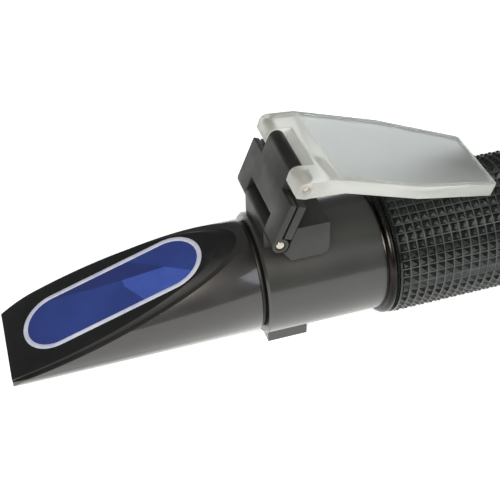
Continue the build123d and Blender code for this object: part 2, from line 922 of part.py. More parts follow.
# ---- write the parts ----------------------------------------------------------------------------------
nodes = {
    "prism_head": prism_head,
    "head_grub_screws": head_grub_screws,
    "prism_bezel": prism_bezel,
    "prism_gasket": prism_gasket,
    "main_prism": main_prism,
    "prism_cradle": prism_cradle,
    "head_seal": head_seal,
    "main_tube": main_tube,
    "trim_ring": trim_ring,
    "rubber_grip": rubber_grip,
    "end_ring": end_ring,
    "guide_screw": guide_screw,
    "snap_ring": snap_ring,
    "calibration_boss": calibration_boss,
    "foot_screw": foot_screw,
    "calibration_screw": calibration_screw,
    "screw_retainer": screw_retainer,
    "calibration_plug": calibration_plug,
    "objective_carrier": objective_carrier,
    "bimetal_strip": bimetal_strip,
    "lens_cell": lens_cell,
    "objective_lens": objective_lens,
    "objective_retainer": objective_retainer,
    "light_baffle": light_baffle,
    "reticle_cell": reticle_cell,
    "reticle": reticle,
    "reticle_retainer": reticle_retainer,
    "focus_ring": focus_ring,
    "eyepiece_barrel": eyepiece_barrel,
    "field_lens_retainer": field_lens_retainer,
    "field_lens": field_lens,
    "lens_spacer": lens_spacer,
    "eye_lens": eye_lens,
    "eye_lens_retainer": eye_lens_retainer,
    "eyecup": eyecup,
    "hinge_block": hinge_block,
    "block_screws": block_screws,
    "link_pin": link_pin,
    "link_frame": link_frame,
    "link_back_plate": link_back_plate,
    "link_screws": link_screws,
    "cover_pin": cover_pin,
    "daylight_plate": daylight_plate,
}

os.makedirs("parts", exist_ok=True)
to_table = Pos(-overall_length / 2, 0, axis_height)
for name, make in nodes.items():
    export_step(to_table * make(), f"parts/{name}.step")

print("overall length", round(overall_length, 3))
print("lower pin", round(pin_x - overall_length / 2, 3), round(pin_z + axis_height, 3))
print("upper pin", round(upper_x - overall_length / 2, 3), round(upper_z + axis_height, 3))
print("link turn", round(link_turn, 3), "cover turn", round(cover_turn, 3))
print("open tilt", round(math.degrees(open_tilt), 3))
print("screw x", round(screw_x - overall_length / 2, 3))
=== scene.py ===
import json
import logging
import math
from dataclasses import dataclass
from enum import Enum
from typing import Callable, Iterable, Optional, Sequence, Union

import bpy
from mathutils import Matrix, Vector


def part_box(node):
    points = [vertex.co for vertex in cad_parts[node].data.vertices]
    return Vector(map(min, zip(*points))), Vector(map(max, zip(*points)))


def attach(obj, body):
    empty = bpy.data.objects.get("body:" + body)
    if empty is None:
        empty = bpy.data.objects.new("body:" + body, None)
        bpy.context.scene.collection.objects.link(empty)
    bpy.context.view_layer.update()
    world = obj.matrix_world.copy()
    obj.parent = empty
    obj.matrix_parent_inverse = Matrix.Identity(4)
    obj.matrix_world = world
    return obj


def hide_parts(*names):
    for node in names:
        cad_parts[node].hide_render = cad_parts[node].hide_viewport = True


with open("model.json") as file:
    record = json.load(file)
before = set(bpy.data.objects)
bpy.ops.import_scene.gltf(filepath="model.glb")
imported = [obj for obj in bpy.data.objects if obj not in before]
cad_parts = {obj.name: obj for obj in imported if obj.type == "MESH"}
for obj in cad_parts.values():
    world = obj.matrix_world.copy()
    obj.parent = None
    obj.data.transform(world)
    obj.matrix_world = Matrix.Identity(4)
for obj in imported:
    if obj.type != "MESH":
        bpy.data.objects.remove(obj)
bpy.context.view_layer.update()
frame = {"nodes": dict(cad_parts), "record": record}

# Handheld refractometer with a slanted prism, a two-hinged daylight plate and a knurled rubber grip.
# Lengths are in metres; MM turns millimetres into metres.

MM = 0.001
LOG = logging.getLogger("refractometer")

Setting = Union[str, int]
Point = tuple[float, float]


class Grain(Enum):
    """How a surface was made, which decides the pattern of its fine relief."""

    BLASTED = "bead blasted, an even fine grain"
    TURNED = "turned on a lathe, fine lines round the optical axis"
    MOULDED = "moulded in a spark-eroded tool, soft pebbled grain"
    GROUND = "ground or polished, next to no relief"


# ---- small helpers ------------------------------------------------------------------------------------
def linear(colour: str) -> tuple[float, float, float, float]:
    """Turns an sRGB hex colour into linear light.

    Args:
        colour: six hex digits, with or without a leading hash.

    Returns:
        Red, green, blue and an alpha of one.
    """
    digits = colour.lstrip("#")
    parts = [int(digits[i:i + 2], 16) / 255 for i in (0, 2, 4)]
    light = [c / 12.92 if c <= 0.04045 else ((c + 0.055) / 1.055) ** 2.4 for c in parts]
    return light[0], light[1], light[2], 1.0


def add_node(
    tree: bpy.types.NodeTree,
    kind: str,
    settings: Optional[dict[Setting, object]] = None,
    links: Optional[dict[Setting, bpy.types.NodeSocket]] = None,
) -> bpy.types.Node:
    """Adds a shader node with its values and its incoming links.

    Args:
        tree: the node tree that it joins.
        kind: the node's type.
        settings: attributes or input sockets, by name or number, and their values.
        links: input sockets, by name or number, and the outputs that feed them.

    Returns:
        The new node.
    """
    node = tree.nodes.new(kind)
    for name, value in (settings or {}).items():
        if isinstance(name, str) and hasattr(node, name):
            setattr(node, name, value)
        else:
            node.inputs[name].default_value = value
    for name, socket in (links or {}).items():
        tree.links.new(socket, node.inputs[name])
    return node


def ramp(
    tree: bpy.types.NodeTree, factor: bpy.types.NodeSocket, stops: Sequence[tuple[float, str]]
) -> bpy.types.NodeSocket:
    """Maps a factor to colours.

    Args:
        tree: the node tree.
        factor: the socket to map.
        stops: places between 0 and 1 and their hex colours, in rising order.

    Returns:
        The colour socket.
    """
    node = add_node(tree, "ShaderNodeValToRGB", links={"Fac": factor})
    elements = node.color_ramp.elements
    while len(elements) < len(stops):
        elements.new(0.5)
    for element, (place, colour) in zip(elements, stops):
        element.position = place
        element.color = linear(colour)
    return node.outputs["Color"]


def deselect() -> None:
    """Leaves object mode with nothing selected."""
    if bpy.context.object is not None and bpy.context.object.mode != "OBJECT":
        bpy.ops.object.mode_set(mode="OBJECT")
    bpy.ops.object.select_all(action="DESELECT")


def make_active(piece: bpy.types.Object) -> None:
    """Selects one piece alone and makes it the active one."""
    deselect()
    piece.select_set(True)
    bpy.context.view_layer.objects.active = piece


def pick_faces(piece: bpy.types.Object, wanted: Callable[[bpy.types.MeshPolygon], bool]) -> int:
    """Selects the faces that pass a test, with the piece in face select mode.

    Args:
        piece: the mesh piece, in object mode.
        wanted: the test.

    Returns:
        How many faces are selected.
    """
    make_active(piece)
    bpy.ops.object.mode_set(mode="EDIT")
    bpy.ops.mesh.select_mode(type="FACE")
    bpy.ops.mesh.select_all(action="DESELECT")
    bpy.ops.object.mode_set(mode="OBJECT")
    count = 0
    for polygon in piece.data.polygons:
        polygon.select = wanted(polygon)
        count += polygon.select
    bpy.ops.object.mode_set(mode="EDIT")
    return count


def clean(piece: bpy.types.Object, merge: float = 0.002 * MM) -> None:
    """Merges doubled points of a closed piece and turns its faces outwards."""
    make_active(piece)
    bpy.ops.object.mode_set(mode="EDIT")
    bpy.ops.mesh.select_all(action="SELECT")
    bpy.ops.mesh.remove_doubles(threshold=merge)
    bpy.ops.mesh.normals_make_consistent(inside=False)
    bpy.ops.object.mode_set(mode="OBJECT")


def round_edges(piece: bpy.types.Object, width: float, segments: int = 2, angle: float = 32.0) -> None:
    """Rounds the sharp edges of a piece and shades the rest smooth.

    Args:
        piece: the mesh piece.
        width: how far the rounding reaches from each edge, in metres.
        segments: faces across the rounding.
        angle: edges that turn by more than this many degrees are rounded.
    """
    make_active(piece)
    bevel = piece.modifiers.new("edge rounding", "BEVEL")
    bevel.width = width
    bevel.segments = segments
    bevel.limit_method = "ANGLE"
    bevel.angle_limit = math.radians(angle)
    bevel.use_clamp_overlap = True
    bevel.harden_normals = False
    bpy.ops.object.modifier_apply(modifier=bevel.name)
    bpy.ops.object.shade_smooth_by_angle(angle=math.radians(40))


def turned(name: str, outline: Iterable[Point], axis_height: float, steps: int = 120) -> bpy.types.Object:
    """Turns a closed outline about the optical axis, as on a lathe.

    Args:
        name: the piece's name.
        outline: (x, radius) points of the section, in order, in metres.
        axis_height: height of the optical axis.
        steps: faces round the axis.

    Returns:
        The closed piece.
    """
    points = list(outline)
    deselect()
    bpy.ops.mesh.primitive_circle_add(vertices=len(points), radius=MM, location=(0, 0, 0))
    piece = bpy.context.object
    piece.name = name
    for vertex, (x, radius) in zip(piece.data.vertices, points):
        vertex.co = (x, 0.0, axis_height + radius)
    bpy.ops.object.mode_set(mode="EDIT")
    bpy.ops.mesh.select_all(action="SELECT")
    bpy.ops.mesh.spin(steps=steps, angle=2 * math.pi, center=(0, 0, axis_height), axis=(1, 0, 0))
    bpy.ops.object.mode_set(mode="OBJECT")
    clean(piece)
    return piece


def arc(centre: Point, radius: float, start: float, end: float, steps: int) -> list[Point]:
    """Points on an arc of a section.

    Args:
        centre: the arc's centre.
        radius: its radius.
        start: angle of the first point from the X axis, in degrees.
        end: angle of the last point.
        steps: stretches between the points.

    Returns:
        The points, first and last included.
    """
    angles = [math.radians(start + (end - start) * i / steps) for i in range(steps + 1)]
    return [(centre[0] + radius * math.cos(a), centre[1] + radius * math.sin(a)) for a in angles]


def inside(at: Vector, outline: Sequence[Point]) -> bool:
    """Whether a point lies inside a closed outline in the XY plane.

    Args:
        at: the point.
        outline: corners of the outline, in order.

    Returns:
        True inside, by counting how many sides a ray along X crosses.
    """
    hit = False
    for (x0, y0), (x1, y1) in zip(outline, tuple(outline[1:]) + tuple(outline[:1])):
        if (y0 > at.y) != (y1 > at.y) and at.x < x0 + (at.y - y0) * (x1 - x0) / (y1 - y0):
            hit = not hit
    return hit


def body_of_node(node: str) -> str:
    """Name of the body that a CAD node rides on."""
    bodies = frame["record"]["behaviour"]["bodies"]
    return next(body for body, members in bodies.items() if node in members)


def slot_of_node(node: str) -> str:
    """Name of the material slot that a CAD node has in the record."""
    return next(part["material_slot"] for part in frame["record"]["subparts"] if part["node"] == node)


def stand_for(piece: bpy.types.Object, node: str, material: bpy.types.Material) -> None:
    """Lets a piece take a CAD node's place and body, and gives it a finish.

    Args:
        piece: the new piece.
        node: the CAD node that it stands for.
        material: its finish, unless it has one already.
    """
    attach(piece, body_of_node(node))
    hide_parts(node)
    if not piece.data.materials:
        piece.data.materials.append(material)
    LOG.info("%s stands for %s, %d faces", piece.name, node, len(piece.data.polygons))


def rounded_copy(node: str, name: str, width_mm: float, segments: int = 2) -> bpy.types.Object:
    """Copies a CAD node's shape with its edges rounded.

    Args:
        node: the CAD node.
        name: the new piece's name.
        width_mm: reach of the rounding, in millimetres.
        segments: faces across the rounding.

    Returns:
        The new piece.
    """
    piece = bpy.data.objects.new(name, frame["nodes"][node].data.copy())
    bpy.context.scene.collection.objects.link(piece)
    piece.data.materials.clear()
    make_active(piece)
    if piece.data.has_custom_normals:
        bpy.ops.mesh.customdata_custom_splitnormals_clear()
    bpy.ops.object.mode_set(mode="EDIT")
    bpy.ops.mesh.select_all(action="SELECT")
    bpy.ops.mesh.remove_doubles(threshold=0.002 * MM)
    bpy.ops.mesh.dissolve_limited(angle_limit=math.radians(0.5))
    bpy.ops.object.mode_set(mode="OBJECT")
    if width_mm > 0:
        round_edges(piece, width_mm * MM, segments)
    return piece


# ---- finishes -----------------------------------------------------------------------------------------
@dataclass(frozen=True)
class Finish:
    """A solid finish with colour variation, a fine relief and uneven gloss."""

    name: str
    dark: str
    light: str
    roughness: float
    grain: Grain = Grain.MOULDED
    grain_mm: float = 0.45
    relief_mm: float = 0.012
    gloss_spread: float = 0.06
    patch_mm: float = 14.0
    metallic: float = 0.0
    ior: float = 1.5
    coat: float = 0.0
    coat_roughness: float = 0.1
    sheen: float = 0.0

    def coordinates(self, tree: bpy.types.NodeTree, size_mm: float, stretch: Sequence[float] = (1, 1, 1)
                    ) -> bpy.types.NodeSocket:
        """Object coordinates scaled to a real size.

        Args:
            tree: the node tree.
            size_mm: size of one unit of the pattern, in millimetres.
            stretch: how much finer the pattern is along each axis.

        Returns:
            The vector socket.
        """
        place = add_node(tree, "ShaderNodeTexCoord")
        scale = tuple(s / (size_mm * MM) for s in stretch)
        mapping = add_node(tree, "ShaderNodeMapping", {"Scale": scale}, {"Vector": place.outputs["Object"]})
        return mapping.outputs["Vector"]

    def relief(self, tree: bpy.types.NodeTree) -> bpy.types.NodeSocket:
        """Height pattern of the surface, between 0 and 1."""
        if self.grain is Grain.TURNED:
            lines = self.coordinates(tree, self.grain_mm, (1, 0.02, 0.02))
            return add_node(tree, "ShaderNodeTexNoise", {"Scale": 1.0, "Detail": 3.0, "Roughness": 0.6},
                            {"Vector": lines}).outputs["Fac"]
        where = self.coordinates(tree, self.grain_mm)
        if self.grain is Grain.MOULDED:
            return add_node(tree, "ShaderNodeTexVoronoi", {"Scale": 1.0, "feature": "SMOOTH_F1"},
                            {"Vector": where}).outputs["Distance"]
        detail = 5.0 if self.grain is Grain.BLASTED else 1.0
        return add_node(tree, "ShaderNodeTexNoise", {"Scale": 1.0, "Detail": detail, "Roughness": 0.7},
                        {"Vector": where}).outputs["Fac"]

    def colour(self, tree: bpy.types.NodeTree) -> bpy.types.NodeSocket:
        """Slow drift between the two shades of the finish."""
        patches = add_node(tree, "ShaderNodeTexNoise", {"Scale": 1.0, "Detail": 6.0, "Roughness": 0.62},
                           {"Vector": self.coordinates(tree, self.patch_mm)})
        return ramp(tree, patches.outputs["Fac"], [(0.3, self.dark), (0.72, self.light)])

    def gloss(self, tree: bpy.types.NodeTree) -> bpy.types.NodeSocket:
        """Roughness that wanders round its mean value, as handled surfaces do."""
        smears = add_node(tree, "ShaderNodeTexNoise", {"Scale": 1.0, "Detail": 4.0},
                          {"Vector": self.coordinates(tree, self.patch_mm * 0.4)})
        return add_node(
            tree,
            "ShaderNodeMapRange",
            {"From Min": 0.3, "From Max": 0.7, "To Min": max(0.02, self.roughness - self.gloss_spread),
             "To Max": self.roughness + self.gloss_spread},
            {"Value": smears.outputs["Fac"]},
        ).outputs["Result"]

    def material(self) -> bpy.types.Material:
        """Builds the finish once and hands out the same material after that."""
        known = bpy.data.materials.get(self.name)
        if known is not None:
            return known
        material = bpy.data.materials.new(self.name)
        material.use_nodes = True
        tree = material.node_tree
        tree.nodes.clear()
        bump = add_node(tree, "ShaderNodeBump", {"Strength": 1.0, "Distance": self.relief_mm * MM},
                        {"Height": self.relief(tree)})
        surface = add_node(
            tree,
            "ShaderNodeBsdfPrincipled",
            {"Metallic": self.metallic, "IOR": self.ior, "Coat Weight": self.coat,
             "Coat Roughness": self.coat_roughness, "Sheen Weight": self.sheen},
            {"Base Color": self.colour(tree), "Roughness": self.gloss(tree),
             "Normal": bump.outputs["Normal"]},
        )
        add_node(tree, "ShaderNodeOutputMaterial", links={"Surface": surface.outputs["BSDF"]})
        material.diffuse_color = linear(self.light)
        return material


@dataclass(frozen=True)
class KnurledRubber(Finish):
    """Rubber whose valleys are painted grey, partly dust and partly painted light standing for the lit slopes
    between the pyramids; its pyramids stay black and shiny, with a painted glint a shade lighter on their
    tips.
    """

    # Valley grey: partly dust, partly painted light for the slopes that catch light between the pyramids.
    valley: str = "#3d4541"
    axis_height: float = 0.0
    valley_radius: float = 0.0
    tip_radius: float = 0.0

    def colour(self, tree: bpy.types.NodeTree) -> bpy.types.NodeSocket:
        """Painted grey in the valleys, partly dust and partly painted light, black on the pyramids and a
        painted glint a shade lighter on their tips.
        """
        place = add_node(tree, "ShaderNodeTexCoord")
        split = add_node(tree, "ShaderNodeSeparateXYZ", links={"Vector": place.outputs["Object"]})
        height = add_node(tree, "ShaderNodeMath", {"operation": "SUBTRACT", 1: self.axis_height},
                          {0: split.outputs["Z"]})
        flat = add_node(tree, "ShaderNodeCombineXYZ", {"X": 0.0},
                        {"Y": split.outputs["Y"], "Z": height.outputs["Value"]})
        radius = add_node(tree, "ShaderNodeVectorMath", {"operation": "LENGTH"}, {0: flat.outputs["Vector"]})
        depth = add_node(
            tree,
            "ShaderNodeMapRange",
            {"From Min": self.valley_radius, "From Max": self.tip_radius},
            {"Value": radius.outputs["Value"]},
        )
        dust = add_node(tree, "ShaderNodeTexNoise", {"Scale": 1.0, "Detail": 5.0},
                        {"Vector": self.coordinates(tree, 6.0)})
        shifted = add_node(tree, "ShaderNodeMath", {"operation": "MULTIPLY_ADD", 1: 0.35, 2: -0.17},
                           {0: dust.outputs["Fac"]})
        level = add_node(tree, "ShaderNodeMath", {"operation": "ADD"},
                         {0: depth.outputs["Result"], 1: shifted.outputs["Value"]})
        # Painted light: the grey valleys (partly dust) and the lighter tips stand in for light caught on the
        # knurl.
        return ramp(tree, level.outputs["Value"],
                    [(0.0, self.valley), (0.16, self.dark), (0.85, self.dark), (1.0, self.light)])


@dataclass(frozen=True)
class ClearFinish:
    """A see-through finish: optical glass, clear acrylic or frosted acrylic."""

    name: str
    tint: str
    roughness: float
    ior: float
    smear: float = 0.02
    smear_mm: float = 9.0
    relief_mm: float = 0.0
    grain_mm: float = 0.4
    milk: float = 0.0

    def material(self) -> bpy.types.Material:
        """Builds the finish once and hands out the same material after that."""
        known = bpy.data.materials.get(self.name)
        if known is not None:
            return known
        material = bpy.data.materials.new(self.name)
        material.use_nodes = True
        tree = material.node_tree
        tree.nodes.clear()
        place = add_node(tree, "ShaderNodeTexCoord")
        wide = add_node(tree, "ShaderNodeMapping", {"Scale": (1 / (self.smear_mm * MM),) * 3},
                        {"Vector": place.outputs["Object"]})
        fine = add_node(tree, "ShaderNodeMapping", {"Scale": (1 / (self.grain_mm * MM),) * 3},
                        {"Vector": place.outputs["Object"]})
        smears = add_node(tree, "ShaderNodeTexNoise", {"Scale": 1.0, "Detail": 5.0, "Roughness": 0.65},
                          {"Vector": wide.outputs["Vector"]})
        gloss = add_node(
            tree,
            "ShaderNodeMapRange",
            {"From Min": 0.35, "From Max": 0.75, "To Min": self.roughness,
             "To Max": self.roughness + self.smear},
            {"Value": smears.outputs["Fac"]},
        )
        grain = add_node(tree, "ShaderNodeTexNoise", {"Scale": 1.0, "Detail": 2.0},
                         {"Vector": fine.outputs["Vector"]})
        bump = add_node(tree, "ShaderNodeBump", {"Strength": 1.0, "Distance": self.relief_mm * MM},
                        {"Height": grain.outputs["Fac"]})
        surface = add_node(
            tree,
            "ShaderNodeBsdfPrincipled",
            {"Base Color": linear(self.tint), "IOR": self.ior, "Transmission Weight": 1.0},
            {"Roughness": gloss.outputs["Result"], "Normal": bump.outputs["Normal"]},
        )
        scattered = add_node(tree, "ShaderNodeBsdfTranslucent", {"Color": linear(self.tint)})
        lit = add_node(tree, "ShaderNodeBsdfDiffuse", {"Color": linear(self.tint)})
        haze = add_node(tree, "ShaderNodeMixShader", {"Fac": 0.5},
                        {1: scattered.outputs["BSDF"], 2: lit.outputs["BSDF"]})
        mixed = add_node(tree, "ShaderNodeMixShader", {"Fac": self.milk},
                         {1: surface.outputs["BSDF"], 2: haze.outputs["Shader"]})
        add_node(tree, "ShaderNodeOutputMaterial", links={"Surface": mixed.outputs["Shader"]})
        material.diffuse_color = linear(self.tint)
        return material


# Black anodising on bead-blasted aluminium: a dark dyed oxide with a soft, slightly warm gleam. The sealed
# oxide mirrors the table at a grazing angle, which the coat gives.
HEAD_ANODISED = Finish("black_anodised_aluminium", "#181716", "#252322", 0.4, Grain.BLASTED, 0.4, 0.016,
                       0.06, 22.0, ior=1.55, coat=0.9, coat_roughness=0.1)
# The same on the turned tube, a shade greyer, with lathe lines left under the oxide.
TUBE_ANODISED = Finish("grey_black_anodised_tube", "#1c1d1b", "#272825", 0.38, Grain.TURNED, 0.34, 0.008,
                       0.05, 26.0, ior=1.6, coat=0.6, coat_roughness=0.12)
# Matt black painted plate round the prism: it swallows stray light.
BEZEL_PAINT = Finish("matt_black_bezel_paint", "#080b0b", "#101414", 0.55, Grain.BLASTED, 0.4, 0.008,
                     0.06, 8.0)
# White optical cement, smoothed by hand, with a faint lilac tint painted in for the blue light that the prism
# beside it casts on it.
OPTICAL_CEMENT = Finish("white_optical_cement", "#b9c0da", "#d6dbec", 0.45, Grain.MOULDED, 1.2, 0.02,
                        0.06, 3.0, ior=1.45)
# Polished dark chrome on the trim ring, dulled by handling: a broad soft highlight.
DARK_CHROME = Finish("dulled_dark_chrome", "#262423", "#393634", 0.27, Grain.TURNED, 0.3, 0.002,
                     0.06, 7.0, metallic=1.0)
# Black ABS of the hinge, moulded in a spark-eroded tool: dull with a greyish bloom.
HINGE_ABS = Finish("moulded_black_abs", "#161615", "#20201e", 0.46, Grain.MOULDED, 0.4, 0.008, 0.05, 9.0,
                   ior=1.53)
# Ground stainless steel of the hinge pins.
PIN_STEEL = Finish("ground_stainless_pin", "#a79c90", "#cfc8bf", 0.24, Grain.GROUND, 0.3, 0.002, 0.06, 1.2,
                   metallic=1.0)
# Blackened steel of the small screws, turned lines on their heads.
SCREW_STEEL = Finish("blackened_screw_steel", "#1b1b1d", "#3a3a3c", 0.34, Grain.TURNED, 0.2, 0.004, 0.06,
                     2.0, metallic=1.0)
# Rolled spring steel of the snap ring and the bimetal strip.
SPRING_STEEL = Finish("spring_steel_strip", "#77797d", "#9a9ca0", 0.28, Grain.GROUND, 0.3, 0.002, 0.05, 3.0,
                      metallic=1.0)
# Free-turning brass of the calibration screw.
TURNED_BRASS = Finish("turned_brass", "#9a7a3a", "#c8a45c", 0.26, Grain.TURNED, 0.2, 0.004, 0.05, 3.0,
                      metallic=1.0)
# Matt black lacquer inside the optics, ridged so that it kills reflections.
INNER_LACQUER = Finish("matt_black_inner_lacquer", "#0b0b0b", "#151515", 0.7, Grain.TURNED, 0.35, 0.02,
                       0.05, 6.0)
# Moulded nitrile rubber, a dull black that shines a little where it is squeezed.
SEAL_RUBBER = Finish("nitrile_seal_rubber", "#0c0c0c", "#171716", 0.5, Grain.MOULDED, 0.5, 0.006, 0.08, 4.0,
                     ior=1.52)
# Soft thermoplastic rubber of the eyecup, with a faint bloom at its edges.
EYECUP_RUBBER = Finish("soft_eyecup_rubber", "#141414", "#242422", 0.62, Grain.MOULDED, 0.55, 0.012, 0.08,
                       10.0, ior=1.5, sheen=0.12)
# Satin black anodising on the turned rings at the eye end.
RING_ANODISED = Finish("satin_black_ring_anodising", "#161615", "#222220", 0.33, Grain.TURNED, 0.3, 0.006,
                       0.05, 9.0, ior=1.6)
# Polished blue glass of the prism, under a hard clear gloss: the light and shade of its inner facets is
# painted on its flat table as three blues, a middle one, a painted shaded one and a painted lit one.
PRISM_MID = Finish("prism_blue_middle", "#22357e", "#2b4393", 0.35, Grain.GROUND, 0.8, 0.001, 0.03, 12.0,
                   coat=0.8, coat_roughness=0.03)
# Painted shade: the darker patch of the prism's table.
PRISM_PAINTED_SHADE = Finish("prism_blue_painted_shade", "#1b2a69", "#213379", 0.35, Grain.GROUND, 0.8, 0.001, 0.03, 9.0,
                    coat=0.8, coat_roughness=0.03)
# Painted light: the lighter patch of the prism's table.
PRISM_PAINTED_LIGHT = Finish("prism_blue_painted_light", "#3450a8", "#405ebb", 0.35, Grain.GROUND, 0.8, 0.001, 0.03, 7.0,
                      coat=0.8, coat_roughness=0.03)
# Coated crown glass of the lenses.
LENS_GLASS = ClearFinish("coated_crown_glass", "#eef4f6", 0.01, 1.52, 0.01)
# Clear moulded acrylic, with the light that it gathers leaving at its edges as a milky glow.
CLEAR_ACRYLIC = ClearFinish("clear_moulded_acrylic", "#f6f8f4", 0.05, 1.49, 0.1, 6.0, milk=0.34)
# The contact face, ground with fine grit: it scatters daylight over the sample.
FROSTED_ACRYLIC = ClearFinish("frosted_acrylic_face", "#e9eef0", 0.33, 1.49, 0.1, 5.0, 0.003, 0.35,
                              milk=0.2)


# ---- sub-assemblies -----------------------------------------------------------------------------------
@dataclass
class OpticalAxis:
    """Places along the instrument that the pieces share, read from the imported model."""

    height: float = 0.5 * (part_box("main_tube")[0].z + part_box("main_tube")[1].z)

    def span(self, node: str) -> tuple[float, float]:
        """Lowest and highest X of a node."""
        low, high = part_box(node)
        return low.x, high.x

    def radius(self, node: str) -> float:
        """Largest half height of a turned node."""
        low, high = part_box(node)
        return 0.5 * (high.z - low.z)


@dataclass
class PrismHead:
    """Slanted head with its bezel, cement and blue prism."""

    edge_mm: float = 0.18
    bezel_edge_mm: float = 0.3
    cement_edge_mm: float = 0.12
    prism_depth_mm: float = 3.0
    prism_play_mm: float = 0.02
    past_window_mm: float = 9.0
    round_end_steps: int = 96
    # Outlines, in millimetres on the face, of the painted lit patch and the painted shaded patch.
    painted_light_outline: tuple[Point, ...] = ((2.8, 1.9), (12.5, -0.2), (17.5, -4.8), (17.5, -9.0), (6.8, -9.0),
                                         (6.8, -7.7), (3.0, -0.3))
    painted_shade_outline: tuple[Point, ...] = ((-10.3, 5.3), (2.8, 1.9), (12.5, -0.2), (14.5, 9.0), (-12.0, 9.0))

    def face_matrix(self) -> Matrix:
        """Frame of the prism face: X up the face, Y across, Z off it, at the middle of the window."""
        mount = next(m for m in frame["record"]["mounts"] if m["name"] == "prism_face")
        normal = Vector(mount["axis"]).normalized()
        across = Vector((0, 1, 0))
        along = across.cross(normal)
        turn = Matrix((along, across, normal)).transposed().to_4x4()
        return Matrix.Translation(Vector(mount["pos_m"])) @ turn

    def window_size(self) -> tuple[float, float]:
        """Length and width of the prism's table, between the inner edges of the cement."""
        low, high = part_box("main_prism")
        face = self.face_matrix()
        corners = [face.inverted() @ v.co for v in frame["nodes"]["main_prism"].data.vertices]
        top = [c for c in corners if c.z > -0.02 * MM]
        length = max(c.x for c in top) - min(c.x for c in top)
        return length, high.y - low.y

    def stadium(self, name: str, length: float, width: float) -> bpy.types.Object:
        """Flat plate with round ends, in the XY plane.

        Args:
            name: the piece's name.
            length: its reach along X, round ends included.
            width: its reach along Y.

        Returns:
            The plate, a single face.
        """
        deselect()
        bpy.ops.mesh.primitive_circle_add(vertices=self.round_end_steps, radius=width / 2, fill_type="NGON")
        piece = bpy.context.object
        piece.name = name
        reach = (length - width) / 2
        for vertex in piece.data.vertices:
            vertex.co.x += reach if vertex.co.x > 0 else -reach
        return piece

    def extrude_down(self, piece: bpy.types.Object, depth: float) -> None:
        """Gives a flat plate its thickness, below the plane it lies in."""
        make_active(piece)
        bpy.ops.object.mode_set(mode="EDIT")
        bpy.ops.mesh.select_all(action="SELECT")
        bpy.ops.mesh.extrude_region_move(TRANSFORM_OT_translate={"value": (0, 0, -depth)})
        bpy.ops.object.mode_set(mode="OBJECT")
        clean(piece)

    def prism(self) -> bpy.types.Object:
        """Prism with its polished table level with the bezel, painted with the lit and shaded facets that
        show inside it.
        """
        length, width = self.window_size()
        play = 2 * self.prism_play_mm * MM
        piece = self.stadium("blue_prism", length - play, width - play)
        for outline in (self.painted_light_outline, self.painted_shade_outline):
            for start, end in zip(outline, outline[1:] + outline[:1]):
                if max(abs(start[1]), abs(end[1])) < self.past_window_mm:
                    self.cut(piece, start, end)
        for finish in (PRISM_MID, PRISM_PAINTED_SHADE, PRISM_PAINTED_LIGHT):
            piece.data.materials.append(finish.material())
        for polygon in piece.data.polygons:
            # Each patch of the flat table gets the painted lit, painted shaded or middle blue.
            polygon.material_index = self.facet(polygon.center / MM)
        self.extrude_down(piece, self.prism_depth_mm * MM)
        piece.data.transform(self.face_matrix())
        return piece

    def cut(self, piece: bpy.types.Object, start: Point, end: Point) -> None:
        """Cuts the flat table along a line.

        Args:
            piece: the table, in the XY plane.
            start: a point of the line, in millimetres.
            end: another point of the line.
        """
        normal = Vector((start[1] - end[1], end[0] - start[0], 0.0)).normalized()
        make_active(piece)
        bpy.ops.object.mode_set(mode="EDIT")
        bpy.ops.mesh.select_all(action="SELECT")
        bpy.ops.mesh.bisect(plane_co=(start[0] * MM, start[1] * MM, 0), plane_no=normal)
        bpy.ops.object.mode_set(mode="OBJECT")

    def facet(self, at: Vector) -> int:
        """Which blue a point of the prism has, from its place on the face in millimetres: the painted lit
        patch, the painted shaded patch or the middle blue.
        """
        if inside(at, self.painted_light_outline):
            return 2
        return 1 if inside(at, self.painted_shade_outline) else 0

    def build(self) -> None:
        """Makes the head's pieces in the place of the CAD nodes."""
        stand_for(rounded_copy("prism_head", "head_shell", self.edge_mm), "prism_head",
                  HEAD_ANODISED.material())
        stand_for(rounded_copy("prism_bezel", "bezel_plate", self.bezel_edge_mm, 3), "prism_bezel",
                  BEZEL_PAINT.material())
        stand_for(rounded_copy("prism_gasket", "cement_ring", self.cement_edge_mm), "prism_gasket",
                  OPTICAL_CEMENT.material())
        stand_for(self.prism(), "main_prism", PRISM_MID.material())


